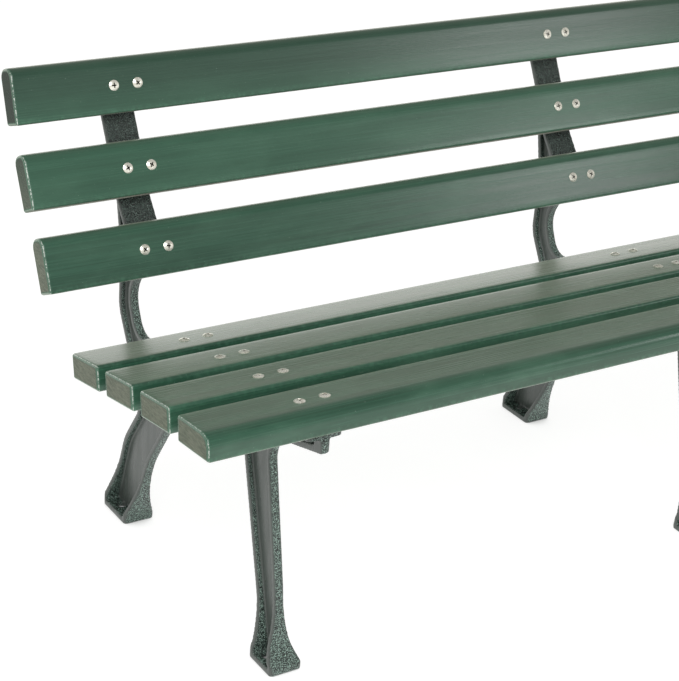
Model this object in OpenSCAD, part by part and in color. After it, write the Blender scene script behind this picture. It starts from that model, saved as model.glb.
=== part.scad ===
// Park bench: seven timber slats bolted to three cast frames.
// X runs along the bench, Y to the back, Z up. The feet stand on Z = 0.

/* [Bench] */
// Length of every slat
slat_length = 1986; // [1900:1:2100]
// Distance between neighbouring frames, centre to centre
frame_spacing = 814; // [780:1:850]

/* [Slats] */
// Width of a slat
slat_width = 83; // [80:0.5:84]
// Thickness of a slat
slat_thickness = 38; // [37:0.5:39]
// Radius of the big rounded front edge of the front seat slat
bullnose_radius = 20; // [10:1:24]
// Radius of the two rounded top edges of the back slats
crown_radius = 15; // [8:1:18]
// Radius of the other long edges
eased_radius = 4; // [1:0.5:5]

/* [Seat] */
// Height of the front seat slat's rear top edge
seat_height = 444.7; // [440:0.1:450]
// Distance between neighbouring seat slats
seat_pitch = 106.6; // [106:0.1:108]

/* [Back] */
// Height of the bottom back slat's lower front edge
back_height = 451.7; // [448:0.1:454]
// Distance between neighbouring back slats
back_pitch = 123.3; // [122:0.1:125]

/* [Frame casting] */
// Thickness of the web
web_thickness = 6; // [5:0.5:7]
// Thickness of the flanges and pads
flange_thickness = 8; // [7:0.5:9]
// Width of the flanges along the legs
flange_width = 15; // [14:0.5:17]
// Width of the pads under the slats
pad_width = 54; // [52:1:60]
// Width of the feet
foot_width = 52; // [50:1:56]
// Diameter of the anchor hole in each foot
anchor_diameter = 14; // [12:1:14]

/* [Bolts] */
// Distance between the two bolts of a slat at one frame
bolt_spacing = 39; // [38:0.5:40]
// Diameter of the bolt shank
bolt_diameter = 8; // [8:1:8]
// Diameter of the bolt head
head_diameter = 16; // [14:0.5:18]
// Height of the bolt head
head_height = 2.8; // [2.5:0.1:5]

/* [Hidden] */
$fn = 48;

SLAT_COLOR = "#33523f";
CAST_COLOR = "#262b28";
STEEL_COLOR = "#b9b7ac";

// Rows of slats, counted from the front on the seat and from the top on the back
FRONT = 0;
MIDDLE_FRONT = 1;
MIDDLE_REAR = 2;
REAR = 3;
TOP = 0;
MIDDLE = 1;
BOTTOM = 2;

// Everything is laid out from the feet, then moved so that the bench is centred on Y
centre_y = 111.32;

// How far a cutting shape runs past the surface it cuts
overrun = 1;

// Tilt of each seat slat and slope of the step to the next, degrees
seat_tilt = [6, 9.1, 10.8, 11];
seat_step = [7.9, 10.5, 10.8];
// Lean of each back slat and rake of the step down to the next, degrees
back_lean = [19, 26.5, 25];
back_rake = [27.4, 29.5];
// Rear top edge of the front seat slat and lower front edge of the bottom back slat
seat_y = -361;
back_y = 25.8;

function seat_corner(i) =
  i == 0 ? [seat_y, seat_height]
         : seat_corner(i - 1) + seat_pitch * [cos(seat_step[i - 1]), -sin(seat_step[i - 1])];
function back_corner(i) =
  i == BOTTOM ? [back_y, back_height]
              : back_corner(i + 1) + back_pitch * [sin(back_rake[i]), cos(back_rake[i])];

// A point on the underside of a seat slat, s forward from its rear edge
function seat_under(i, s) =
  seat_corner(i)
  - s * [cos(seat_tilt[i]), -sin(seat_tilt[i])]
  - slat_thickness * [sin(seat_tilt[i]), cos(seat_tilt[i])];
// A point on the rear of a back slat, s up from its lower edge, d behind the slat
function back_rear(i, s, d = 0) =
  back_corner(i)
  + s * [sin(back_lean[i]), cos(back_lean[i])]
  + (slat_thickness + d) * [cos(back_lean[i]), -sin(back_lean[i])];

// Corners of the casting's side outline, each [y, z, radius], clockwise from the nose
nose_setback = 5;
pad_setback = 6;
pocket_setback = 12;
nose_tip = [-448, 388.7, 3];
top_setback = 8;
top_thickness = 26;
front_toe = -388;
front_heel = -324;
rear_toe = 72;
rear_heel = 151;
seat_line = [
  seat_under(FRONT, slat_width - nose_setback), seat_under(FRONT, 0),
  seat_under(MIDDLE_FRONT, slat_width), seat_under(MIDDLE_FRONT, 0),
  seat_under(MIDDLE_REAR, slat_width), seat_under(MIDDLE_REAR, 0),
  seat_under(REAR, slat_width), seat_under(REAR, 0)
];
seat_pad = concat([seat_under(FRONT, slat_width - pad_setback)], [for (i = [1 : 7]) seat_line[i]]);
back_line = [
  back_rear(BOTTOM, 0), back_rear(BOTTOM, slat_width),
  back_rear(MIDDLE, 0), back_rear(MIDDLE, slat_width),
  back_rear(TOP, 0), back_rear(TOP, slat_width - top_setback)
];
inner_bend = [[84, 326, 32], [113, 386, 50], [93, 422, 12]];
back_rear_edge = [
  concat(back_rear(TOP, slat_width - top_setback, top_thickness), 12),
  [172, 570, 260], [146, 450, 200], [147, 352, 70]
];
rear_leg_rear = [[64, 214, 40], [116, 136, 120], [146, 36, 60], [rear_heel, 14, 10]];
arch = [[34, 128, 160], [-78, 306, 100], [-241, 337, 45]];
front_leg_rear = [[-327, 24, 12], [front_heel, 0, 2]];
front_leg_front = [[-369, 36, 40], [-357, 128, 200], [-313, 351, 45]];
function casting(nose_end, rear_toe_end, front_toe_end) = concat(
  [for (i = [1 : 7]) concat(seat_line[i], 1)],
  inner_bend,
  [for (p = back_line) concat(p, 2)],
  back_rear_edge, rear_leg_rear,
  [[rear_heel, 0, 2]], rear_toe_end,
  arch, front_leg_rear, front_toe_end, front_leg_front, nose_end
);
corners = casting(
  [nose_tip, concat(seat_line[0], 2)],
  [[rear_toe, 0, 2], [rear_toe + 1, 12, 20]],
  [[front_toe, 0, 2], [front_toe, 10, 5]]
);
// The pocket stops short of the nose, and its sides run straight down to the foot plates
pocket_nose = [-435, 388, 3];
pocket_nose_radius = 8;
pocket_rear_toe = rear_toe + 5;
pocket_front_toe = front_toe - 7;
pocket_corners = casting(
  [pocket_nose, concat(seat_under(FRONT, slat_width - pocket_setback), pocket_nose_radius)],
  [[pocket_rear_toe, 0, 2]],
  [[pocket_front_toe, 0, 2]]
);

// Polygon with rounded corners, left sharp where it hardly turns
arc_step = 6;
least_turn = 4;
function unit(v) = v / norm(v);
function turn(p, q, r) = (q - p).x * (r - q).y - (q - p).y * (r - q).x;
function at(list, i) = list[(i + len(list)) % len(list)];
function flat(p) = [p.x, p.y];
function corner_arc(a, b, c, r) =
  let (
    u = unit(a - b), v = unit(c - b),
    half = acos(u * v) / 2,
    sweep = 180 - 2 * half,
    mid = b + unit(u + v) * r / sin(half),
    s = b + u * r / tan(half) - mid,
    e = b + v * r / tan(half) - mid,
    n = max(1, ceil(sweep / arc_step))
  )
  sweep < least_turn
    ? [b]
    : [for (k = [0 : n]) mid + (s * sin(sweep * (1 - k / n)) + e * sin(sweep * k / n)) / sin(sweep)];
function rounded(list) = [
  for (i = [0 : len(list) - 1])
    each corner_arc(flat(at(list, i - 1)), flat(list[i]), flat(at(list, i + 1)), list[i][2])
];

// The same corners moved inwards by t, with their radii kept concentric
least_radius = 1;
function inward(p, q) = let (d = unit(q - p)) [d.y, -d.x];
function inset(list, t) = [
  for (i = [0 : len(list) - 1])
    let (
      a = flat(at(list, i - 1)), b = flat(list[i]), c = flat(at(list, i + 1)),
      n = inward(a, b), m = inward(b, c),
      p = b + t * (n + m) / (1 + n * m),
      r = turn(a, b, c) < 0 ? list[i][2] - t : list[i][2] + t
    )
    concat(p, max(least_radius, r))
];

// Extrusions of a side outline [y, z] along X, centred or from x0
module along_x(width, x0 = undef) {
  shift = is_undef(x0) ? -width / 2 : x0;
  translate([shift, 0, 0])
    rotate([90, 0, 90])
      linear_extrude(width)
        children();
}

// Slats ------------------------------------------------------------------

module edge_waste(r) {
  difference() {
    translate([-overrun, -overrun]) square(r + overrun);
    translate([r, r]) circle(r);
  }
}

// Section of a slat, its big rounded edge at the origin and the next along its length
module slat_section(length, height, r, next_r) {
  difference() {
    square([length, height]);
    edge_waste(r);
    translate([length, 0]) mirror([1, 0]) edge_waste(next_r);
    translate([0, height]) mirror([0, 1]) edge_waste(eased_radius);
    translate([length, height]) rotate(180) edge_waste(eased_radius);
  }
}

module on_seat(i) {
  translate([0, seat_corner(i).x, seat_corner(i).y])
    rotate([-seat_tilt[i], 0, 0])
      children();
}

module on_back(i) {
  translate([0, back_corner(i).x, back_corner(i).y])
    rotate([-back_lean[i], 0, 0])
      children();
}

bolt_x = [
  for (f = [-1 : 1])
    for (side = [-0.5, 0.5])
      f * frame_spacing + side * bolt_spacing
];

module at_seat_bolts(i) {
  on_seat(i)
    for (x = bolt_x)
      translate([x, -slat_width / 2, 0])
        children();
}

module at_back_bolts(i) {
  on_back(i)
    for (x = bolt_x)
      translate([x, 0, slat_width / 2])
        rotate([90, 0, 0])
          children();
}

module bolt_hole() {
  clearance = 0.5;
  reach = slat_thickness + 3 * flange_thickness;
  translate([0, 0, -reach])
    cylinder(d = bolt_diameter + 2 * clearance, h = reach + flange_thickness);
}

module seat_slat(i) {
  color(SLAT_COLOR)
    difference() {
      on_seat(i)
        along_x(slat_length)
          translate([-slat_width, 0])
            mirror([0, 1])
              slat_section(
                slat_width, slat_thickness,
                i == FRONT ? bullnose_radius : eased_radius, eased_radius
              );
      at_seat_bolts(i) bolt_hole();
    }
}

module back_slat(i) {
  color(SLAT_COLOR)
    difference() {
      on_back(i)
        along_x(slat_length)
          translate([0, slat_width])
            mirror([0, 1])
              slat_section(slat_thickness, slat_width, crown_radius, crown_radius);
      at_back_bolts(i) bolt_hole();
    }
}

// Frame casting ----------------------------------------------------------

// Edge flange all round, the web flush with its right side and the pocket open to the left
flange_left = -9;
flange_right = flange_left + flange_width;

module web() {
  along_x(web_thickness, flange_right - web_thickness)
    polygon(rounded(inset(corners, flange_thickness / 2)));
}

module flange_band() {
  difference() {
    polygon(rounded(corners));
    polygon(rounded(inset(pocket_corners, flange_thickness)));
  }
}

// Front outline [x, z] of a flare that widens from the flange to full width
module flare(full, start, radius) {
  difference() {
    translate([-full / 2, 0]) square([full, start]);
    translate([flange_left - radius, start]) circle(radius, $fn = 180);
    translate([flange_right + radius, start]) circle(radius, $fn = 180);
  }
}

module along_y(from, to) {
  translate([0, to, 0])
    rotate([90, 0, 0])
      linear_extrude(to - from)
        children();
}

// Feet: the flange spreads out to the foot plates, over a length that takes in the whole ankle
flare_radius = 232;
flare_top = 105;
ankle_length = 50;
module feet() {
  intersection() {
    along_x(foot_width) flange_band();
    union() {
      along_y(front_toe - overrun, front_heel + ankle_length)
        flare(foot_width, flare_top, flare_radius);
      along_y(rear_toe - ankle_length, rear_heel + overrun)
        flare(foot_width, flare_top, flare_radius);
    }
  }
}

// Waste at the corners of a foot plate that runs from y0 to y1
foot_radius = 6;
corner_height = 45;
module foot_corners(y0, y1) {
  for (side = [0, 1], far = [0, 1])
    mirror([side, 0, 0])
      translate([-foot_width / 2, far ? y1 : y0, -overrun])
        mirror([0, far, 0])
          linear_extrude(corner_height)
            edge_waste(foot_radius);
}

// Flat strip of the pad's width just behind a line of points
module pad_strip(line) {
  n = len(line);
  normals = [for (i = [1 : n - 1]) inward(line[i - 1], line[i])];
  shifted = [
    for (i = [0 : n - 1])
      let (a = normals[max(0, i - 1)], b = normals[min(n - 2, i)])
      line[i] + flange_thickness * (a + b) / (1 + a * b)
  ];
  along_x(pad_width)
    polygon(concat(line, [for (i = [n - 1 : -1 : 0]) shifted[i]]));
}

// Outline of a pad seen square on, with rounded corners at its start
pad_radius = 6;
pad_run = 600;
module pad_outline() {
  inner = pad_width / 2 - pad_radius;
  translate([-pad_width / 2, pad_radius]) square([pad_width, pad_run]);
  translate([-inner, 0]) square([2 * inner, pad_run]);
  for (side = [-1, 1])
    translate([side * inner, pad_radius]) circle(pad_radius);
}

// Seat pad and back pad, rounded at the nose and at the top
module seat_pads() {
  intersection() {
    pad_strip(seat_pad);
    translate([0, seat_pad[0].x, 0]) linear_extrude(pad_run) pad_outline();
  }
}

module back_pads() {
  intersection() {
    pad_strip(back_line);
    along_y(back_y, back_y + pad_run)
      translate([0, back_line[5].y]) mirror([0, 1]) pad_outline();
  }
}

// Anchor holes, beside the web and clear of it, one through each foot plate
anchor_x = -7.5;
anchor_offset = 9;
front_anchor_y = (front_toe + front_heel) / 2 + anchor_offset;
rear_anchor_y = (rear_toe + rear_heel) / 2 + anchor_offset;

// Step that leaves the pad's front edge standing clear of the nose
module nose_notch() {
  depth = flange_thickness + overrun;
  reach = 30;
  translate([0, seat_pad[0].x, seat_pad[0].y])
    rotate([-seat_tilt[FRONT], 0, 0])
      translate([-pad_width / 2, -reach, -depth])
        cube([pad_width, reach, 2 * depth]);
}

// Corner cut off the nose on the side of the web
nose_chamfer = 6;
module nose_corner() {
  linear_extrude(seat_pad[0].y - flange_thickness)
    polygon([
      [flange_right - nose_chamfer, nose_tip.x - overrun],
      [flange_right + overrun, nose_tip.x - overrun],
      [flange_right + overrun, nose_tip.x + nose_chamfer]
    ]);
}

module frame(f) {
  color(CAST_COLOR)
    difference() {
      translate([f * frame_spacing, 0, 0])
        difference() {
          union() {
            web();
            along_x(flange_width, flange_left) flange_band();
            feet();
            seat_pads();
            back_pads();
          }
          nose_notch();
          nose_corner();
          foot_corners(front_toe, front_heel);
          foot_corners(rear_toe, rear_heel);
          for (y = [front_anchor_y, rear_anchor_y])
            translate([anchor_x, y, -overrun])
              cylinder(d = anchor_diameter, h = flange_thickness + 2 * overrun);
        }
      for (i = [FRONT : REAR]) at_seat_bolts(i) bolt_hole();
      for (i = [TOP : BOTTOM]) at_back_bolts(i) bolt_hole();
    }
}

// Fasteners --------------------------------------------------------------

washer_thickness = 1.6;
washer_diameter = 15;
washer_clearance = 0.4;
nut_thickness = 6.5;
nut_across_flats = 13;
thread_end = 2.5;

module bolt() {
  recess_length = 8;
  recess_width = 2;
  recess_depth = 2;
  rim_height = 0.2;
  root = 0.5;
  cap_radius = (pow(head_diameter / 2, 2) + pow(head_height, 2)) / (2 * head_height);
  shank = slat_thickness + flange_thickness + washer_thickness + nut_thickness + thread_end;
  color(STEEL_COLOR)
    difference() {
      union() {
        translate([0, 0, -shank]) cylinder(d = bolt_diameter, h = shank + root);
        intersection() {
          cylinder(d = head_diameter, h = head_height);
          translate([0, 0, head_height - cap_radius]) sphere(cap_radius + rim_height);
        }
      }
      for (a = [0, 90])
        rotate(a)
          translate([0, 0, head_height])
            cube([recess_length, recess_width, 2 * recess_depth], center = true);
    }
}

module washer() {
  color(STEEL_COLOR)
    translate([0, 0, -slat_thickness - flange_thickness - washer_thickness])
      difference() {
        cylinder(d = washer_diameter, h = washer_thickness);
        translate([0, 0, -overrun])
          cylinder(d = bolt_diameter + washer_clearance, h = washer_thickness + 2 * overrun);
      }
}

module nut() {
  color(STEEL_COLOR)
    translate([0, 0, -slat_thickness - flange_thickness - washer_thickness - nut_thickness])
      difference() {
        cylinder(d = nut_across_flats / cos(30), h = nut_thickness, $fn = 6);
        translate([0, 0, -overrun])
          cylinder(d = bolt_diameter, h = nut_thickness + 2 * overrun);
      }
}

// Nodes --------------------------------------------------------------------

module placed() {
  translate([0, centre_y, 0]) children();
}

module left_frame() { placed() frame(-1); }
module middle_frame() { placed() frame(0); }
module right_frame() { placed() frame(1); }

module back_slat_top() { placed() back_slat(TOP); }
module back_slat_middle() { placed() back_slat(MIDDLE); }
module back_slat_bottom() { placed() back_slat(BOTTOM); }
module seat_slat_front() { placed() seat_slat(FRONT); }
module seat_slat_middle_front() { placed() seat_slat(MIDDLE_FRONT); }
module seat_slat_middle_rear() { placed() seat_slat(MIDDLE_REAR); }
module seat_slat_rear() { placed() seat_slat(REAR); }

module back_slat_top_bolts() { placed() at_back_bolts(TOP) bolt(); }
module back_slat_middle_bolts() { placed() at_back_bolts(MIDDLE) bolt(); }
module back_slat_bottom_bolts() { placed() at_back_bolts(BOTTOM) bolt(); }
module seat_slat_front_bolts() { placed() at_seat_bolts(FRONT) bolt(); }
module seat_slat_middle_front_bolts() { placed() at_seat_bolts(MIDDLE_FRONT) bolt(); }
module seat_slat_middle_rear_bolts() { placed() at_seat_bolts(MIDDLE_REAR) bolt(); }
module seat_slat_rear_bolts() { placed() at_seat_bolts(REAR) bolt(); }

module back_slat_top_washers() { placed() at_back_bolts(TOP) washer(); }
module back_slat_middle_washers() { placed() at_back_bolts(MIDDLE) washer(); }
module back_slat_bottom_washers() { placed() at_back_bolts(BOTTOM) washer(); }
module seat_slat_front_washers() { placed() at_seat_bolts(FRONT) washer(); }
module seat_slat_middle_front_washers() { placed() at_seat_bolts(MIDDLE_FRONT) washer(); }
module seat_slat_middle_rear_washers() { placed() at_seat_bolts(MIDDLE_REAR) washer(); }
module seat_slat_rear_washers() { placed() at_seat_bolts(REAR) washer(); }

module back_slat_top_nuts() { placed() at_back_bolts(TOP) nut(); }
module back_slat_middle_nuts() { placed() at_back_bolts(MIDDLE) nut(); }
module back_slat_bottom_nuts() { placed() at_back_bolts(BOTTOM) nut(); }
module seat_slat_front_nuts() { placed() at_seat_bolts(FRONT) nut(); }
module seat_slat_middle_front_nuts() { placed() at_seat_bolts(MIDDLE_FRONT) nut(); }
module seat_slat_middle_rear_nuts() { placed() at_seat_bolts(MIDDLE_REAR) nut(); }
module seat_slat_rear_nuts() { placed() at_seat_bolts(REAR) nut(); }

left_frame();
middle_frame();
right_frame();
back_slat_top();
back_slat_middle();
back_slat_bottom();
seat_slat_front();
seat_slat_middle_front();
seat_slat_middle_rear();
seat_slat_rear();
back_slat_top_bolts();
back_slat_middle_bolts();
back_slat_bottom_bolts();
seat_slat_front_bolts();
seat_slat_middle_front_bolts();
seat_slat_middle_rear_bolts();
seat_slat_rear_bolts();
back_slat_top_washers();
back_slat_middle_washers();
back_slat_bottom_washers();
seat_slat_front_washers();
seat_slat_middle_front_washers();
seat_slat_middle_rear_washers();
seat_slat_rear_washers();
back_slat_top_nuts();
back_slat_middle_nuts();
back_slat_bottom_nuts();
seat_slat_front_nuts();
seat_slat_middle_front_nuts();
seat_slat_middle_rear_nuts();
seat_slat_rear_nuts();
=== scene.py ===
"""Garden bench: painted timber slats on three dark cast frames, bolted on with stainless bolts."""

import math

import bmesh
import bpy
from mathutils import Matrix, Vector, noise


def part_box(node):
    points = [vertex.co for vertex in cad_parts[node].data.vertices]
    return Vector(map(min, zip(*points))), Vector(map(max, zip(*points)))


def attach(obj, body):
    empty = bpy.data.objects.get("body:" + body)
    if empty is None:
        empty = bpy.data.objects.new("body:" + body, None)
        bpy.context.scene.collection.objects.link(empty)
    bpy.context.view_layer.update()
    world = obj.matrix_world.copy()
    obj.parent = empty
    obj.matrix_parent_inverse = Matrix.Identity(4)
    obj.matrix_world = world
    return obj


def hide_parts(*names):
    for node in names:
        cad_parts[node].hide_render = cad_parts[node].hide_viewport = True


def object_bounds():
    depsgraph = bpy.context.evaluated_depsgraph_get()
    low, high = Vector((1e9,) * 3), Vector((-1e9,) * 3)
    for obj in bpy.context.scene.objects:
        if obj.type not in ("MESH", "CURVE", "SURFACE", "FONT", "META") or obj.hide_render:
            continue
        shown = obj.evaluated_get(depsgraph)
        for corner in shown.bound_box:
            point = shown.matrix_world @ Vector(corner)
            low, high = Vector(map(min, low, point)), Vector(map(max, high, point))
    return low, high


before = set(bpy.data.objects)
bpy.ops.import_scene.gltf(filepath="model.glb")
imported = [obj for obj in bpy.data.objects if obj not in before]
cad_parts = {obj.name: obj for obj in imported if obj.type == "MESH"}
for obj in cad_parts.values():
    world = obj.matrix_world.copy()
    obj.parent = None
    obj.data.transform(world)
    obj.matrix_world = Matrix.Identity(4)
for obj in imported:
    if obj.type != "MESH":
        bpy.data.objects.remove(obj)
cad_low, cad_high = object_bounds()


def srgb(text):
    """Linear colour of a hex code."""
    values = [int(text[k : k + 2], 16) / 255 for k in (0, 2, 4)]
    return tuple(v / 12.92 if v < 0.04045 else ((v + 0.055) / 1.055) ** 2.4 for v in values)


MM = 0.001
BODY = "root"

FRAMES = ["left_frame", "middle_frame", "right_frame"]
BACK_SLATS = ["back_slat_top", "back_slat_middle", "back_slat_bottom"]
SEAT_SLATS = [
    "seat_slat_front",
    "seat_slat_middle_front",
    "seat_slat_middle_rear",
    "seat_slat_rear",
]
SLATS = BACK_SLATS + SEAT_SLATS

# Boards, with the CAD's own edge radii
CROWN_RADIUS = 15 * MM
BULLNOSE_RADIUS = 20 * MM
EASED_RADIUS = 4 * MM
END_RADIUS = 4 * MM
SMALLEST_RADIUS = 0.3 * MM
ARC_STEPS = 7
END_STEPS = 6
FACE_STEP = 7 * MM
LENGTH_STEP = 9 * MM
CAP_SHARES = (0.06, 0.35)
SURFACE_WAVE = 0.18 * MM
ARRIS_WEAR = 0.2 * MM
WAVE_SCALE = (4, 16)  # along and across the bench
WEAR_SCALE = (55, 30)  # along and across the bench
SEED_STEP = 7.3
END_MATERIAL = 1
BOARD_GLOSS = 1.0
END_GLOSS = 0.1

# Castings, remeshed and softened
CAST_VOXEL = 1.7 * MM
CAST_SMOOTHING = 5
CAST_LUMPS = 0.25 * MM
LUMP_SCALE = 210
SOLE_HEIGHT = 2 * MM

# Fasteners; the recess is given as arm length, half width and height above the seat
FASTENER_GAP = 5 * MM
ROUND_STEPS = 36
DOME_STEPS = 7
HEAD_RADIUS = 8 * MM
HEAD_HEIGHT = 2.8 * MM
HEAD_RIM = 0.7 * MM
SHANK_RADIUS = 4 * MM
BOLT_LENGTH = 56.6 * MM
THREAD_LENGTH = 12 * MM
THREAD_PITCH = 1.25 * MM
THREAD_DEPTH = 0.35 * MM
THREAD_STEPS = 4
RECESS_MOUTH = (4.6 * MM, 1.1 * MM, 3 * MM)
RECESS_BOTTOM = (2.8 * MM, 0.8 * MM, 0.6 * MM)
PAD_THICKNESS = 8 * MM
WASHER_THICKNESS = 1.6 * MM
NUT_APOTHEM = 6.5 * MM
NUT_LAND = 6.2 * MM
NUT_THICKNESS = 6.5 * MM
NUT_CHAMFER = math.radians(30)
BOLT_CREASE = math.radians(35)
NUT_CREASE = math.radians(25)
BOLT_TURN = 37  # degrees, so that no two recesses line up
SLAT_TURN = 23

# Paint and metal, with the colours of painted shade, light and glints
GREEN_DARK = srgb("1b4231")
GREEN_LIGHT = srgb("275541")
GREEN_FADED_AND_LIT = srgb("436b56")
TOP_BOARD_SHADE_GREEN = srgb("0f2a1f")
UNDERSIDE_SHADE_GREEN = srgb("10241b")
GREEN_ARRIS_WEAR_AND_HIGHLIGHT = srgb("47795f")
END_BAND_HIGHLIGHT_GREEN = srgb("3a6b52")
END_DARK = srgb("535a4c")
END_LIGHT = srgb("6d7162")
END_SHADE = srgb("1c2a21")
DUST = srgb("a9bfb0")
GLINT_LINE_WHITE = srgb("eef0ea")
WEB_REFLECTION_GREY = srgb("4b514d")
FLANGE_BLACK = srgb("0b1511")
FLECK_AND_GLINT = srgb("a6c2b5")
STEEL_LIGHT = srgb("faf8ec")
STEEL_DARK = srgb("e0ddce")
RECESS_SHADE = srgb("141612")
SHEEN_TINT = (0.95, 0.95, 0.78, 1)
SHEEN = 0.36
PAINT_SPECULAR = 0.5

# Heights between which painted shade, painted light and the flecks change
ABOVE_SEAT = (0.44, 0.5)
LOW_BACK = (0.44, 0.56)
TOP_BOARD = (0.66, 0.72)
ENDS_LESS_GREY = (0.42, 0.8)
ENDS_DARKER = (0.46, 0.7)
ABOVE_LEGS = (0.35, 0.5)

# Studio, in metres, watts and degrees
FLOOR_HALF = 14
FLOOR_COLOUR = (0.35, 0.35, 0.348, 1)
FLOOR_GLOW = (1, 1, 0.995, 1)
FLOOR_GLOW_STRENGTH = 0.85
CONTACT_SHADOW_REACH = 0.07
SKY_COLOUR = (1, 0.995, 0.98, 1)
OVERHEAD_LIGHT = 0.3
FRONT_LIGHT = 0.45
BACKDROP_LIGHT = 1.4
KEY_PLACE = (-2.2, -2.6, 3.2)
KEY_SIZE = (2.0, 2.0)
KEY_POWER = 90
STRIP_PLACE = (1.8, -2.0, 1.5)
STRIP_SIZE = (0.7, 0.6)
STRIP_POWER = 7
EYE = (-2.0234, -2.1097, 1.5771)
EYE_ANGLES = (34.405, 25.481, 4.586)  # azimuth, dip and roll
LENS = 98.66
SENSOR_WIDTH = 36
CLIP_END = 60


# Meshes ---------------------------------------------------------------------


def scene_object(name, data):
    thing = bpy.data.objects.new(name, data)
    bpy.context.scene.collection.objects.link(thing)
    return thing


def new_piece(name, mesh, slot, *nodes):
    """A visible piece that stands for CAD nodes and rides on the bench."""
    piece = scene_object(name, mesh)
    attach(piece, BODY)
    if nodes:
        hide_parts(*nodes)
    return piece


def shade_smooth(mesh):
    mesh.polygons.foreach_set("use_smooth", [True] * len(mesh.polygons))


def float_attribute(mesh, name, values):
    mesh.attributes.new(name, "FLOAT", "POINT").data.foreach_set("value", values)


def mesh_data(mesh, name):
    """Turns a bmesh into mesh data and frees it."""
    data = bpy.data.meshes.new(name)
    mesh.to_mesh(data)
    mesh.free()
    return data


def modified_mesh(piece):
    """The object's mesh with its modifiers applied and no materials."""
    bpy.context.view_layer.update()
    graph = bpy.context.evaluated_depsgraph_get()
    mesh = bpy.data.meshes.new_from_object(piece.evaluated_get(graph))
    mesh.materials.clear()
    return mesh


def bridge(mesh, near, far):
    """Faces between two rings of the same number of vertices."""
    faces = []
    for k in range(len(near)):
        after = (k + 1) % len(near)
        faces.append(mesh.faces.new((near[k], near[after], far[after], far[k])))
    return faces


def cad_mesh(node):
    mesh = bmesh.new()
    mesh.from_mesh(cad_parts[node].data)
    bmesh.ops.remove_doubles(mesh, verts=mesh.verts, dist=1e-6)
    return mesh


def width_direction(node):
    """Direction of the longest straight edge of a board's end face."""
    low_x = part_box(node)[0].x
    board = cad_mesh(node)
    best = max(
        (
            e
            for e in board.edges
            if all(v.co.x < low_x + 0.1 * MM for v in e.verts)
            and min(abs(f.normal.x) for f in e.link_faces) < 0.5
        ),
        key=lambda e: e.calc_length(),
    )
    along = (best.verts[1].co - best.verts[0].co).normalized()
    board.free()
    return along


class Board:
    """A slat's place in the frame: its length, its width and its depth behind the seen face."""

    def __init__(self, node):
        self.node = node
        self.back = node in BACK_SLATS
        across = width_direction(node)
        upright = across.z if self.back else -across.y
        self.width_axis = across if upright > 0 else -across
        self.depth_axis = Vector((1, 0, 0)).cross(self.width_axis)
        inward = self.depth_axis.y if self.back else -self.depth_axis.z
        if inward < 0:
            self.depth_axis.negate()
        points = [v.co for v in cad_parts[node].data.vertices]
        widths = [p.dot(self.width_axis) for p in points]
        depths = [p.dot(self.depth_axis) for p in points]
        self.x = (min(p.x for p in points), max(p.x for p in points))
        self.low = (min(widths), min(depths))
        self.width = max(widths) - self.low[0]
        self.thickness = max(depths) - self.low[1]

    def point(self, x, width, depth):
        return (
            Vector((x, 0, 0))
            + self.width_axis * (self.low[0] + width)
            + self.depth_axis * (self.low[1] + depth)
        )

    def radii(self):
        """Corner radii, from the seen face's lower or rear edge round to the edge behind it."""
        if self.back:
            return [EASED_RADIUS, CROWN_RADIUS, CROWN_RADIUS, EASED_RADIUS]
        if self.node == "seat_slat_front":
            return [EASED_RADIUS, BULLNOSE_RADIUS, EASED_RADIUS, EASED_RADIUS]
        return [EASED_RADIUS] * 4


def board_outline(board, inset):
    """Outline of the section moved inwards, as (width, depth, arris) round the board."""
    corners = [(0, 0), (board.width, 0), (board.width, board.thickness), (0, board.thickness)]
    turns = [180, 270, 0, 90]
    outline = []
    for (width, depth), radius, turn in zip(corners, board.radii(), turns):
        inner = (
            width + (radius if width == 0 else -radius),
            depth + (radius if depth == 0 else -radius),
        )
        reach = max(radius - inset, SMALLEST_RADIUS)
        arris = 1.0 if radius == EASED_RADIUS else 0.0
        for step in range(ARC_STEPS + 1):
            angle = math.radians(turn + 90 * step / ARC_STEPS)
            across, through = reach * math.cos(angle), reach * math.sin(angle)
            outline.append((inner[0] + across, inner[1] + through, arris))
    return with_straights(outline)


def with_straights(outline):
    """Adds even points along the straight runs between the corner arcs."""
    full = []
    for here, after in zip(outline, outline[1:] + outline[:1]):
        full.append(here)
        run = math.hypot(after[0] - here[0], after[1] - here[1])
        parts = max(1, round(run / FACE_STEP)) if run > 2 * FACE_STEP else 1
        for part in range(1, parts):
            share = part / parts
            width, depth = (a + (b - a) * share for a, b in zip(here[:2], after[:2]))
            full.append((width, depth, 0.0))
    return full


def ring_stations(board):
    """Rings along the board as (x, inset, tip); tip runs from 0 to 1 over the rounded ends."""
    low, high = board.x
    ends = []
    for step in range(END_STEPS + 1):
        angle = math.radians(90 * step / END_STEPS)
        along = END_RADIUS * (1 - math.cos(angle))
        inset = END_RADIUS * (1 - math.sin(angle))
        ends.append((along, inset, step / END_STEPS))
    first = [(low + along, inset, tip) for along, inset, tip in ends]
    last = [(high - along, inset, tip) for along, inset, tip in reversed(ends)]
    start, stop = low + END_RADIUS, high - END_RADIUS
    count = round((stop - start) / LENGTH_STEP)
    middle = [(start + (stop - start) * k / count, 0.0, 1.0) for k in range(1, count)]
    return first + middle + last


def surface_offset(position, arris, seed):
    """Slow wave of a planed face, and the uneven wear of its arrises."""
    def field(along, across):
        return noise.noise(
            Vector((position.x * along, position.y * across, position.z * across + seed))
        )

    wear = ARRIS_WEAR * arris * max(0.0, field(*WEAR_SCALE) + 0.1)
    return SURFACE_WAVE * field(*WAVE_SCALE) - wear


def glint_side(board, width, depth):
    """How far a point of the section is on the front face of a back board, and on the top and
    front of a seat board; these sides carry the painted glint line.
    """
    seen = 1.0 - min(1.0, depth / (0.25 * board.thickness))
    if board.back:
        return seen
    return 0.7 * (1.0 if width > board.width - EASED_RADIUS else seen)


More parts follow.
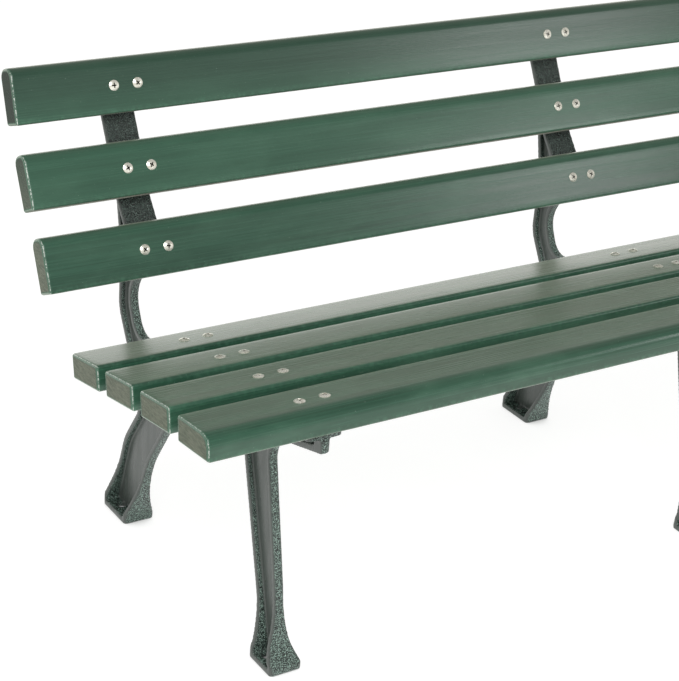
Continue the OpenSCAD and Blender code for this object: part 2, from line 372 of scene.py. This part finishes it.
def slat_mesh(board, seed):
    mesh = bmesh.new()
    arris_layer = mesh.verts.layers.float.new("arris")
    tip_layer = mesh.verts.layers.float.new("tip")
    glint_side_layer = mesh.verts.layers.float.new("seen")
    end_layer = mesh.verts.layers.float.new("end_grain")
    rings = []
    centre = (board.width / 2, board.thickness / 2)
    for x, inset, tip in ring_stations(board):
        ring = []
        for width, depth, arris in board_outline(board, inset):
            place = board.point(x, width, depth)
            out = board.point(x, centre[0], centre[1])
            shift = surface_offset(place, arris, seed)
            vert = mesh.verts.new(place + (place - out).normalized() * shift)
            vert[arris_layer] = arris
            vert[tip_layer] = tip
            vert[glint_side_layer] = glint_side(board, width, depth)
            ring.append(vert)
        rings.append(ring)
    for near, far in zip(rings, rings[1:]):
        bridge(mesh, near, far)
    for ring, x in ((rings[0], board.x[0]), (rings[-1], board.x[1])):
        cap_end(mesh, board, ring, x, end_layer)
    bmesh.ops.recalc_face_normals(mesh, faces=mesh.faces)
    data = mesh_data(mesh, board.node)
    shade_smooth(data)
    return data


def cap_end(mesh, board, ring, x, end_layer):
    """Closes an end with two inner rings, so that the face keeps its own shading."""
    middle = board.point(x, board.width / 2, board.thickness / 2)
    for share in CAP_SHARES:
        inner = []
        for vert in ring:
            copy = mesh.verts.new(vert.co.lerp(middle, share))
            copy[end_layer] = 1.0
            inner.append(copy)
        for face in bridge(mesh, ring, inner):
            face.material_index = END_MATERIAL
        ring = inner
    mesh.faces.new(ring).material_index = END_MATERIAL


def fastener_stations(node):
    """Places along X of the separate fasteners in a CAD node."""
    places = sorted(v.co.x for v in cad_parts[node].data.vertices)
    groups = [[places[0]]]
    for x in places[1:]:
        if x - groups[-1][-1] > FASTENER_GAP:
            groups.append([])
        groups[-1].append(x)
    return [(group[0] + group[-1]) / 2 for group in groups]


def seat_matrix(board, x, depth, turn):
    """Stands a fastener on the middle of a board, its axis out of the seen face."""
    out = -board.depth_axis
    side = Vector((1, 0, 0))
    basis = Matrix((side, out.cross(side), out)).transposed().to_4x4()
    place = Matrix.Translation(board.point(x, board.width / 2, depth))
    return place @ basis @ Matrix.Rotation(math.radians(turn), 4, "Z")


def ring_mesh(name, rings, closed):
    """Skin over rings of points about Z, closed on itself or capped at both ends."""
    mesh = bmesh.new()
    loops = [[mesh.verts.new(p) for p in ring] for ring in rings]
    pairs = list(zip(loops, loops[1:]))
    if closed:
        pairs.append((loops[-1], loops[0]))
    else:
        mesh.faces.new(loops[0])
        mesh.faces.new(loops[-1])
    for near, far in pairs:
        bridge(mesh, near, far)
    bmesh.ops.recalc_face_normals(mesh, faces=mesh.faces)
    return mesh_data(mesh, name)


def circle(radius, height):
    return [
        Vector((radius(a) * math.cos(a), radius(a) * math.sin(a), height(a)))
        for a in (2 * math.pi * k / ROUND_STEPS for k in range(ROUND_STEPS))
    ]


def plain_ring(radius, height):
    return circle(lambda a: radius, lambda a: height)


def thread_ring(height):
    """Section of a single-start thread: its root and crest turn with the height."""

    def radius(a):
        share = (height / THREAD_PITCH - a / (2 * math.pi)) % 1
        return SHANK_RADIUS - THREAD_DEPTH * abs(2 * share - 1)

    return circle(radius, lambda a: height)


def bolt_rings():
    """Sections of a low pan-head bolt, from the top of its head down to its threaded end."""
    rise = HEAD_HEIGHT - HEAD_RIM
    dome = (HEAD_RADIUS**2 + rise**2) / (2 * rise)
    sweep = math.asin(HEAD_RADIUS / dome)
    rings = []
    for step in range(1, DOME_STEPS + 1):
        angle = sweep * step / DOME_STEPS
        height = HEAD_HEIGHT - dome * (1 - math.cos(angle))
        rings.append(plain_ring(dome * math.sin(angle), height))
    rings.append(plain_ring(HEAD_RADIUS, 0))
    rings.append(plain_ring(SHANK_RADIUS, 0))
    turns = round(THREAD_LENGTH / THREAD_PITCH * THREAD_STEPS)
    for step in range(turns):
        rings.append(thread_ring(THREAD_LENGTH - BOLT_LENGTH - step * THREAD_PITCH / THREAD_STEPS))
    rings.append(plain_ring(SHANK_RADIUS - 2 * THREAD_DEPTH, -BOLT_LENGTH))
    return rings


def bolt_template():
    """Bolt along +Z from its seat, with a cross recess cut in its head."""
    bolt = scene_object("bolt_source", ring_mesh("bolt", bolt_rings(), closed=False))
    cutter = scene_object("recess_source", recess_mesh())
    recess = bolt.modifiers.new("recess", "BOOLEAN")
    recess.operation = "DIFFERENCE"
    recess.solver = "EXACT"
    recess.object = cutter
    mesh = modified_mesh(bolt)
    bpy.data.objects.remove(bolt)
    bpy.data.objects.remove(cutter)
    shade_smooth(mesh)
    mesh.set_sharp_from_angle(angle=BOLT_CREASE)
    float_attribute(mesh, "recess", [recess_share(v.co) for v in mesh.vertices])
    return mesh


def recess_share(point):
    """1 at the bottom of the cross recess, 0 on the dome and everywhere else."""
    inside = 0 < point.z < 0.5 * HEAD_HEIGHT and point.xy.length < 0.5 * HEAD_RADIUS
    return 1.0 if inside else 0.0


def recess_mesh():
    """Tapered cross, as an outline of twelve points drawn at the mouth and at the bottom."""
    rings = []
    for length, width, height in (RECESS_MOUTH, RECESS_BOTTOM):
        quarter = [(length, -width), (length, width), (width, width)]
        points = []
        for turn in range(4):
            spin = Matrix.Rotation(math.radians(90 * turn), 3, "Z")
            points += [spin @ Vector((x, y, height)) for x, y in quarter]
        rings.append(points)
    return ring_mesh("recess", rings, closed=False)


def nut_template():
    """Hexagon nut along -Z from its seat, with its corners chamfered."""

    def outer(a):
        return NUT_APOTHEM / math.cos((a + math.pi / 6) % (math.pi / 3) - math.pi / 6)

    def drop(a):
        return (outer(a) - NUT_LAND) * math.tan(NUT_CHAMFER)

    rings = [
        plain_ring(SHANK_RADIUS, 0),
        plain_ring(NUT_LAND, 0),
        circle(outer, lambda a: -drop(a)),
        circle(outer, lambda a: drop(a) - NUT_THICKNESS),
        plain_ring(NUT_LAND, -NUT_THICKNESS),
        plain_ring(SHANK_RADIUS, -NUT_THICKNESS),
    ]
    mesh = ring_mesh("nut", rings, closed=True)
    shade_smooth(mesh)
    mesh.set_sharp_from_angle(angle=NUT_CREASE)
    return mesh


def casting_mesh(node):
    """The frame's casting with soft edges and a slightly lumpy skin."""
    source = scene_object("casting_source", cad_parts[node].data.copy())
    remesh = source.modifiers.new("remesh", "REMESH")
    remesh.mode = "VOXEL"
    remesh.voxel_size = CAST_VOXEL
    smooth = source.modifiers.new("smooth", "SMOOTH")
    smooth.iterations = CAST_SMOOTHING
    smooth.factor = 0.5
    mesh = modified_mesh(source)
    bpy.data.objects.remove(source)
    normals = [n.vector.copy() for n in mesh.vertex_normals]
    # skin is 1 on the flanges and 0 on the webs; besides the rough skin it places the painted
    # reflection grey on the webs
    skin = [1.0 - min(1.0, abs(n.x) * 1.4) for n in normals]
    places = []
    for vert, normal, rough in zip(mesh.vertices, normals, skin):
        lump = noise.noise(vert.co * LUMP_SCALE) * CAST_LUMPS * (0.25 + rough)
        places.extend(vert.co + normal * (lump if vert.co.z > SOLE_HEIGHT else 0))
    mesh.vertices.foreach_set("co", places)
    mesh.update()
    float_attribute(mesh, "skin", skin)
    shade_smooth(mesh)
    return mesh


# Materials --------------------------------------------------------------------


def graded(tree, source, span, values):
    """Smooth step of a node output from one span of values to another."""
    ramp = tree.nodes.new("ShaderNodeMapRange")
    ramp.interpolation_type = "SMOOTHSTEP"
    ramp.inputs["From Min"].default_value, ramp.inputs["From Max"].default_value = span
    ramp.inputs["To Min"].default_value, ramp.inputs["To Max"].default_value = values
    tree.links.new(source, ramp.inputs["Value"])
    return ramp.outputs["Result"]


class Nodes:
    """A material's node tree with short calls for what the surfaces here need."""

    def __init__(self, name):
        self.material = bpy.data.materials.new(name)
        self.material.use_nodes = True
        self.tree = self.material.node_tree
        self.shader = self.tree.nodes["Principled BSDF"]
        self.place = self.add("ShaderNodeTexCoord").outputs["Object"]

    def add(self, kind, **settings):
        node = self.tree.nodes.new(kind)
        for key, value in settings.items():
            setattr(node, key, value)
        return node

    def link(self, source, target):
        self.tree.links.new(source, target)

    def stretched(self, scale):
        mapping = self.add("ShaderNodeMapping")
        mapping.inputs["Scale"].default_value = scale
        self.link(self.place, mapping.inputs["Vector"])
        return mapping.outputs["Vector"]

    def noise(self, scale, detail=3.0, roughness=0.5, stretch=(1, 1, 1)):
        texture = self.add("ShaderNodeTexNoise")
        texture.inputs["Scale"].default_value = scale
        texture.inputs["Detail"].default_value = detail
        texture.inputs["Roughness"].default_value = roughness
        self.link(self.stretched(stretch), texture.inputs["Vector"])
        return texture.outputs["Fac"]

    def height(self):
        split = self.add("ShaderNodeSeparateXYZ")
        self.link(self.place, split.inputs["Vector"])
        return split.outputs["Z"]

    def underside(self):
        """1 on faces that look down, 0 on the others."""
        split = self.add("ShaderNodeSeparateXYZ")
        self.link(self.add("ShaderNodeNewGeometry").outputs["Normal"], split.inputs["Vector"])
        return self.ramp(split.outputs["Z"], -0.65, -0.3, 1, 0)

    def attribute(self, name):
        return self.add("ShaderNodeAttribute", attribute_name=name).outputs["Fac"]

    def ramp(self, source, low, high, low_value=0.0, high_value=1.0):
        return graded(self.tree, source, (low, high), (low_value, high_value))

    def rising(self, span, low_value, high_value):
        """A value that changes with the height above the floor."""
        return graded(self.tree, self.height(), span, (low_value, high_value))

    def math(self, operation, a, b):
        node = self.add("ShaderNodeMath", operation=operation)
        for socket, value in zip(node.inputs, (a, b)):
            if isinstance(value, (int, float)):
                socket.default_value = value
            else:
                self.link(value, socket)
        return node.outputs["Value"]

    def mix(self, share, a, b):
        node = self.add("ShaderNodeMix", data_type="RGBA")
        self.link(share, node.inputs["Factor"])
        for socket, value in ((node.inputs["A"], a), (node.inputs["B"], b)):
            if isinstance(value, tuple):
                socket.default_value = (*value, 1)
            else:
                self.link(value, socket)
        return node.outputs["Result"]

    def bump(self, height, distance, strength):
        node = self.add("ShaderNodeBump")
        node.inputs["Distance"].default_value = distance
        node.inputs["Strength"].default_value = strength
        self.link(height, node.inputs["Height"])
        return node.outputs["Normal"]

    def finish(self, colour, roughness, normal):
        self.link(colour, self.shader.inputs["Base Color"])
        self.link(roughness, self.shader.inputs["Roughness"])
        self.link(normal, self.shader.inputs["Normal"])
        return self.material


def painted_timber(name, gloss):
    """Satin green paint over fine grain; the same paint with less gloss covers the ends."""
    n = Nodes(name)
    streaks = n.noise(380, 3, 0.6, (0.012, 1, 1))
    bands = n.noise(55, 2, 0.5, (0.02, 1, 1))
    clouds = n.noise(16, 4, 0.65, (0.4, 1, 1))
    grain = n.math("ADD", n.math("MULTIPLY", streaks, 0.55), n.math("MULTIPLY", bands, 0.45))
    # painted shade on faces that look down above the seat; the same mask also makes them rougher
    shaded = n.math("MULTIPLY", n.underside(), n.rising(ABOVE_SEAT, 0, 0.9))
    colour = end_arris(n, end_face(n, long_faces(n, grain, clouds, shaded)))
    roughness = n.math("ADD", n.ramp(grain, 0.3, 0.7, 0.22, 0.3), n.math("MULTIPLY", shaded, 0.5))
    height = n.math("ADD", grain, n.math("MULTIPLY", n.noise(1100, 2), 0.2))
    normal = n.bump(height, 0.04 * MM, 0.8)
    n.shader.inputs["IOR"].default_value = 1.52
    n.shader.inputs["Specular IOR Level"].default_value = PAINT_SPECULAR * gloss
    n.shader.inputs["Sheen Weight"].default_value = SHEEN * gloss
    n.shader.inputs["Sheen Roughness"].default_value = 0.5
    n.shader.inputs["Sheen Tint"].default_value = SHEEN_TINT
    return n.finish(colour, roughness, normal)


def long_faces(n, grain, clouds, shaded):
    """Green over the grain, faded in clouds and dusty; lighter on the back boards as painted light
    and darker on the top board as painted shade; arrises rubbed and lit with a painted highlight;
    painted shade on the undersides.
    """
    colour = n.mix(n.ramp(grain, 0.34, 0.66), GREEN_DARK, GREEN_LIGHT)
    colour = n.mix(n.ramp(clouds, 0.42, 0.75, 0, 0.5), colour, GREEN_FADED_AND_LIT)
    # painted light: the boards above the seat, the back boards, made lighter
    colour = n.mix(n.rising(LOW_BACK, 0, 0.38), colour, GREEN_FADED_AND_LIT)
    # painted shade: the top back board made darker
    colour = n.mix(n.rising(TOP_BOARD, 0, 0.55), colour, TOP_BOARD_SHADE_GREEN)
    colour = n.mix(n.ramp(n.noise(520, 2), 0.73, 0.78, 0, 0.5), colour, DUST)
    # arrises lighter in patches: partly rubbed paint, partly a painted highlight
    rubbed_and_lit = n.ramp(n.noise(150, 3), 0.4, 0.7, 0.05, 0.4)
    colour = n.mix(n.math("MULTIPLY", n.attribute("arris"), rubbed_and_lit), colour, GREEN_ARRIS_WEAR_AND_HIGHLIGHT)
    # painted shade on the undersides
    return n.mix(shaded, colour, UNDERSIDE_SHADE_GREEN)


def end_face(n, colour):
    """Greyer paint on the end grain; on the higher boards the ends are less grey and carry painted
    shade.
    """
    end = n.attribute("end_grain")
    rings = n.noise(520, 3, 0.6, (1, 0.15, 1))
    end_colour = n.mix(n.ramp(rings, 0.35, 0.65), END_DARK, END_LIGHT)
    # painted shade: the ends of higher boards take less of the pale end colour
    grey = n.math("MULTIPLY", end, n.rising(ENDS_LESS_GREY, 0.95, 0.4))
    colour = n.mix(grey, colour, end_colour)
    # painted shade: the ends darker on the higher boards
    shade = n.math("MULTIPLY", end, n.rising(ENDS_DARKER, 0, 0.95))
    return n.mix(shade, colour, END_SHADE)


def end_arris(n, colour):
    """Lighter green round the ends as a painted highlight, with a patchy white painted glint line
    on the front and top sides.
    """
    tip = n.attribute("tip")
    # painted highlight: lighter green on the rounded ends
    band = n.math("MULTIPLY", n.ramp(tip, 0.05, 0.2), n.ramp(tip, 0.8, 1.0, 1, 0))
    colour = n.mix(n.math("MULTIPLY", band, 0.35), colour, END_BAND_HIGHLIGHT_GREEN)
    # painted glint: a patchy white line along the rounded ends
    line = n.math("MULTIPLY", n.ramp(tip, 0.4, 0.55), n.ramp(tip, 0.6, 0.75, 1, 0))
    line = n.math("MULTIPLY", line, n.attribute("seen"))
    line = n.math("MULTIPLY", line, n.ramp(n.noise(260, 4, 0.7), 0.44, 0.58, 0.05, 0.95))
    return n.mix(line, colour, GLINT_LINE_WHITE)


def painted_casting():
    """Black-green paint on the rough flanges, its light flecks partly hammered paint and partly
    painted glints, fewer above the legs as painted shade; the smoother webs a lighter grey as a
    painted reflection.
    """
    n = Nodes("painted_casting")
    skin = n.attribute("skin")
    hammer = n.noise(680, 3, 0.6)
    grit = n.noise(1500, 2, 0.5)
    height = n.math("ADD", hammer, n.math("MULTIPLY", grit, 0.3))
    # painted reflection: the webs a lighter grey than the flanges
    colour = n.mix(skin, WEB_REFLECTION_GREY, FLANGE_BLACK)
    # light flecks: partly hammered paint, partly painted glints
    fleck_glint = n.math("MULTIPLY", skin, n.ramp(height, 0.62, 0.8))
    # painted shade: fewer flecks above the legs
    fleck_glint = n.math("MULTIPLY", fleck_glint, n.rising(ABOVE_LEGS, 1.0, 0.35))
    colour = n.mix(fleck_glint, colour, FLECK_AND_GLINT)
    streaks = n.ramp(n.noise(90, 3, 0.5, (1, 1, 0.12)), 0.35, 0.7)
    roughness = n.math("ADD", 0.24, n.math("MULTIPLY", streaks, 0.14))
    rough_height = n.math("MULTIPLY", height, n.math("ADD", 0.08, n.math("MULTIPLY", skin, 0.9)))
    normal = n.bump(rough_height, 1.4 * MM, 0.9)
    n.shader.inputs["IOR"].default_value = 1.55
    n.shader.inputs["Specular IOR Level"].default_value = 0.42
    return n.finish(colour, roughness, normal)


def stainless():
    """Brushed steel, spotted a little, with painted shade in the cross recess."""
    n = Nodes("stainless")
    brushed = n.noise(700, 3, 0.6)
    spots = n.noise(160, 2, 0.5)
    colour = n.mix(n.ramp(spots, 0.35, 0.7), STEEL_LIGHT, STEEL_DARK)
    # painted shade: the bottom of the cross recess darkened
    colour = n.mix(n.attribute("recess"), colour, RECESS_SHADE)
    roughness = n.ramp(brushed, 0.3, 0.7, 0.18, 0.34)
    normal = n.bump(brushed, 0.05 * MM, 0.6)
    n.shader.inputs["Metallic"].default_value = 0.6
    return n.finish(colour, roughness, normal)


# Bench --------------------------------------------------------------------------


def make_slats(materials):
    for seed, node in enumerate(SLATS):
        mesh = slat_mesh(Board(node), SEED_STEP * seed)
        for material in materials:
            mesh.materials.append(material)
        new_piece(f"{node}_board", mesh, "painted_timber", node)


def make_castings(material):
    mesh = casting_mesh(FRAMES[0])
    mesh.materials.append(material)
    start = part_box(FRAMES[0])[0].x
    for node in FRAMES:
        copy = mesh.copy()
        copy.transform(Matrix.Translation((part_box(node)[0].x - start, 0, 0)))
        new_piece(f"{node}_casting", copy, "painted_casting", node)


def fastener_set(node, template, matrices):
    """One mesh of a node's bolts or nuts, each a copy of the template."""
    mesh = bmesh.new()
    for matrix in matrices:
        copy = template.copy()
        copy.transform(matrix)
        mesh.from_mesh(copy)
        bpy.data.meshes.remove(copy)
    return mesh_data(mesh, node)


def make_fasteners(material):
    templates = {"bolts": bolt_template(), "nuts": nut_template()}
    for turn, slat in enumerate(SLATS):
        board = Board(slat)
        depths = {"bolts": 0, "nuts": board.thickness + PAD_THICKNESS + WASHER_THICKNESS}
        for kind, template in templates.items():
            node = f"{slat}_{kind}"
            matrices = [
                seat_matrix(board, x, depths[kind], BOLT_TURN * number + SLAT_TURN * turn)
                for number, x in enumerate(fastener_stations(node))
            ]
            data = fastener_set(node, template, matrices)
            data.materials.append(material)
            new_piece(f"{node}_set", data, "stainless", node)
        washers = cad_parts[f"{slat}_washers"].data
        washers.materials.clear()
        washers.materials.append(material)


# Studio ---------------------------------------------------------------------------


def floor():
    """Pale floor that glows, with a painted contact shadow: the glow fades close to what stands on
    it.
    """
    mesh = bmesh.new()
    bmesh.ops.create_grid(mesh, x_segments=1, y_segments=1, size=FLOOR_HALF)
    piece = scene_object("floor", mesh_data(mesh, "floor"))
    material = bpy.data.materials.new("floor_white")
    material.use_nodes = True
    tree = material.node_tree
    shader = tree.nodes["Principled BSDF"]
    shader.inputs["Base Color"].default_value = FLOOR_COLOUR
    shader.inputs["Roughness"].default_value = 0.9
    shader.inputs["Emission Color"].default_value = FLOOR_GLOW
    # painted contact shadow: the glow follows ambient occlusion
    contact_shadow = tree.nodes.new("ShaderNodeAmbientOcclusion")
    contact_shadow.inputs["Distance"].default_value = CONTACT_SHADOW_REACH
    contact_shadow.samples = 12
    glow = graded(tree, contact_shadow.outputs["AO"], (0.0, 0.75), (0.0, FLOOR_GLOW_STRENGTH))
    tree.links.new(glow, shader.inputs["Emission Strength"])
    piece.data.materials.append(material)


def sky():
    """White to the eye; as a light, brightest low behind the bench, dimmer elsewhere."""
    world = bpy.data.worlds.new("studio")
    bpy.context.scene.world = world
    world.use_nodes = True
    tree = world.node_tree
    background = tree.nodes["Background"]
    place = tree.nodes.new("ShaderNodeTexCoord")
    split = tree.nodes.new("ShaderNodeSeparateXYZ")
    tree.links.new(place.outputs["Generated"], split.inputs["Vector"])
    low = graded(tree, split.outputs["Z"], (0.12, 0.6), (1, 0))
    behind = graded(tree, split.outputs["Y"], (-0.2, 0.5), (FRONT_LIGHT, BACKDROP_LIGHT))
    product = tree.nodes.new("ShaderNodeMath")
    product.operation = "MULTIPLY_ADD"
    tree.links.new(low, product.inputs[0])
    tree.links.new(behind, product.inputs[1])
    product.inputs[2].default_value = OVERHEAD_LIGHT
    seen = tree.nodes.new("ShaderNodeMix")
    seen.data_type = "FLOAT"
    tree.links.new(tree.nodes.new("ShaderNodeLightPath").outputs["Is Camera Ray"], seen.inputs[0])
    tree.links.new(product.outputs["Value"], seen.inputs[2])
    seen.inputs[3].default_value = BACKDROP_LIGHT
    tree.links.new(seen.outputs[0], background.inputs["Strength"])
    background.inputs["Color"].default_value = SKY_COLOUR


def softbox(name, place, target, size, power):
    light = bpy.data.lights.new(name, "AREA")
    light.shape = "RECTANGLE"
    light.size, light.size_y = size
    light.energy = power
    lamp = scene_object(name, light)
    lamp.location = place
    lamp.rotation_euler = (target - Vector(place)).to_track_quat("-Z", "Y").to_euler()


def lights():
    centre = (cad_low + cad_high) / 2
    softbox("key", KEY_PLACE, centre, KEY_SIZE, KEY_POWER)
    softbox("strip", STRIP_PLACE, centre, STRIP_SIZE, STRIP_POWER)


def camera():
    """Eye left of the bench and in front, looking down on it with a slight roll."""
    azimuth, dip, roll = (math.radians(angle) for angle in EYE_ANGLES)
    forward = Vector(
        (math.sin(azimuth) * math.cos(dip), math.cos(azimuth) * math.cos(dip), -math.sin(dip))
    )
    level = Vector((math.cos(azimuth), -math.sin(azimuth), 0))
    right = Matrix.Rotation(-roll, 3, forward) @ level
    up = right.cross(forward)
    data = bpy.data.cameras.new("camera")
    data.lens = LENS
    data.sensor_width = SENSOR_WIDTH
    data.clip_end = CLIP_END
    eye = scene_object("camera", data)
    basis = Matrix((right, up, -forward)).transposed().to_4x4()
    eye.matrix_world = Matrix.Translation(EYE) @ basis
    bpy.context.scene.camera = eye


make_slats(
    [painted_timber("painted_timber", BOARD_GLOSS), painted_timber("painted_end", END_GLOSS)]
)
make_castings(painted_casting())
make_fasteners(stainless())
floor()
sky()
lights()
camera()
bpy.context.scene.view_settings.view_transform = "Standard"
